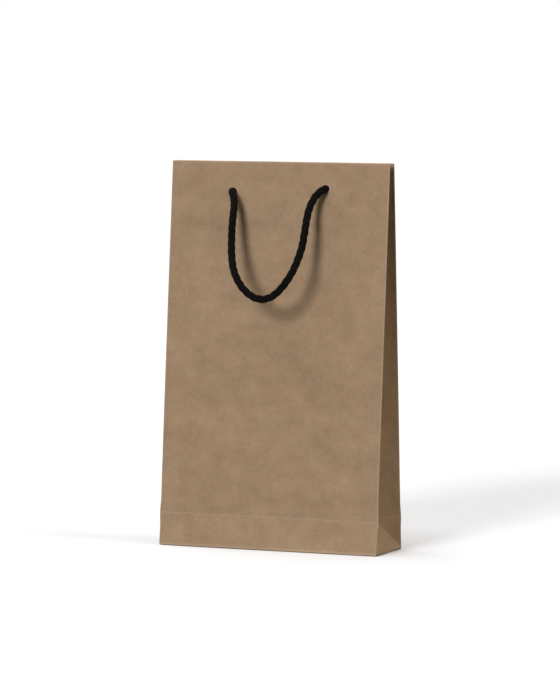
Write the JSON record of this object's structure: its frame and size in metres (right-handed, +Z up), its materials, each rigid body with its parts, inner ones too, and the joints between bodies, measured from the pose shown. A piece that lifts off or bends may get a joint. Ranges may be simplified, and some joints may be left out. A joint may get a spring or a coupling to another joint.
{
  "type": "paper gift bag",
  "caption": "Small upright kraft paper gift bag, pinched at the mouth, with folded side gussets, a flat block bottom and black rope loop handles.",
  "frame": {"origin": "middle of the underside of the base, on the surface that the bag stands on", "axes": "+Z up, front panel faces -Y, +X to the right as seen from the front"},
  "size_m": [0.16, 0.0891, 0.2616],
  "materials": {
    "kraft": "matte uncoated kraft",
    "kraft_inside": "matte uncoated kraft, inner face",
    "card": "matte grey board",
    "rope": "matte twisted cotton"
  },
  "bodies": {
    "base": {"base_front_flap": "kraft", "base_back_flap": "kraft", "base_left_flap": "kraft", "base_right_flap": "kraft", "base_board": "card"},
    "front_panel": {"front_panel": "kraft", "front_hem_card": "card", "front_hem": "kraft_inside", "front_rope_ends": "rope"},
    "back_panel": {"back_panel": "kraft", "back_hem_card": "card", "back_hem": "kraft_inside", "side_seam_flap": "kraft_inside", "back_rope_ends": "rope"},
    "right_gusset_front": {"right_gusset_front": "kraft", "right_gusset_front_hem": "kraft_inside"},
    "right_gusset_back": {"right_gusset_back": "kraft", "right_gusset_back_hem": "kraft_inside"},
    "left_gusset_front": {"left_gusset_front": "kraft", "left_gusset_front_hem": "kraft_inside"},
    "left_gusset_back": {"left_gusset_back": "kraft", "left_gusset_back_hem": "kraft_inside"},
    "right_gusset_foot": {"right_gusset_triangle": "kraft"},
    "left_gusset_foot": {"left_gusset_triangle": "kraft"},
    "front_loop": {"front_rope_loop": "rope"},
    "back_loop": {"back_rope_loop": "rope"}
  },
  "joints": [
    {"name": "front_panel_fold", "type": "hinge", "parent": "base", "child": "front_panel", "pos_m": [0, -0.0225, 0], "axis": [1, 0, 0], "range_deg": [0, 4.13]},
    {"name": "back_panel_fold", "type": "hinge", "parent": "base", "child": "back_panel", "pos_m": [0, 0.0225, 0], "axis": [-1, 0, 0], "range_deg": [0, 2.44]},
    {"name": "right_gusset_front_fold", "type": "hinge", "parent": "front_panel", "child": "right_gusset_front", "pos_m": [0.08, -0.0225, 0], "axis": [0, -0.0889, -0.996], "range_deg": [0, 50.55]},
    {"name": "right_gusset_back_fold", "type": "hinge", "parent": "back_panel", "child": "right_gusset_back", "pos_m": [0.08, 0.0225, 0], "axis": [0, -0.0523, 0.9986], "range_deg": [0, 50.55]},
    {"name": "left_gusset_front_fold", "type": "hinge", "parent": "front_panel", "child": "left_gusset_front", "pos_m": [-0.08, -0.0225, 0], "axis": [0, 0.0889, 0.996], "range_deg": [0, 50.55]},
    {"name": "left_gusset_back_fold", "type": "hinge", "parent": "back_panel", "child": "left_gusset_back", "pos_m": [-0.08, 0.0225, 0], "axis": [0, 0.0523, -0.9986], "range_deg": [0, 50.55]},
    {"name": "right_foot_fold", "type": "hinge", "parent": "base", "child": "right_gusset_foot", "pos_m": [0.08, 0, 0], "axis": [0, 1, 0], "range_deg": [0, 11.75]},
    {"name": "left_foot_fold", "type": "hinge", "parent": "base", "child": "left_gusset_foot", "pos_m": [-0.08, 0, 0], "axis": [0, -1, 0], "range_deg": [0, 11.75]},
    {"name": "front_loop_swing", "type": "hinge", "parent": "front_panel", "child": "front_loop", "pos_m": [0, -0.0049, 0.24084], "axis": [-0.9991, 0, -0.0423], "range_deg": [0, 145]},
    {"name": "back_loop_swing", "type": "hinge", "parent": "back_panel", "child": "back_loop", "pos_m": [0, 0.01378, 0.24147], "axis": [0.9991, 0, 0.0423], "range_deg": [0, 145]}
  ],
  "couplings": [
    {"joint": "back_panel_fold", "follows": "front_panel_fold", "ratio": 0.5884},
    {"joint": "right_gusset_front_fold", "follows": "front_panel_fold", "ratio": 12.222},
    {"joint": "right_gusset_back_fold", "follows": "front_panel_fold", "ratio": 12.222},
    {"joint": "left_gusset_front_fold", "follows": "front_panel_fold", "ratio": 12.222},
    {"joint": "left_gusset_back_fold", "follows": "front_panel_fold", "ratio": 12.222},
    {"joint": "right_foot_fold", "follows": "front_panel_fold", "ratio": 2.832},
    {"joint": "left_foot_fold", "follows": "front_panel_fold", "ratio": 2.832}
  ]
}
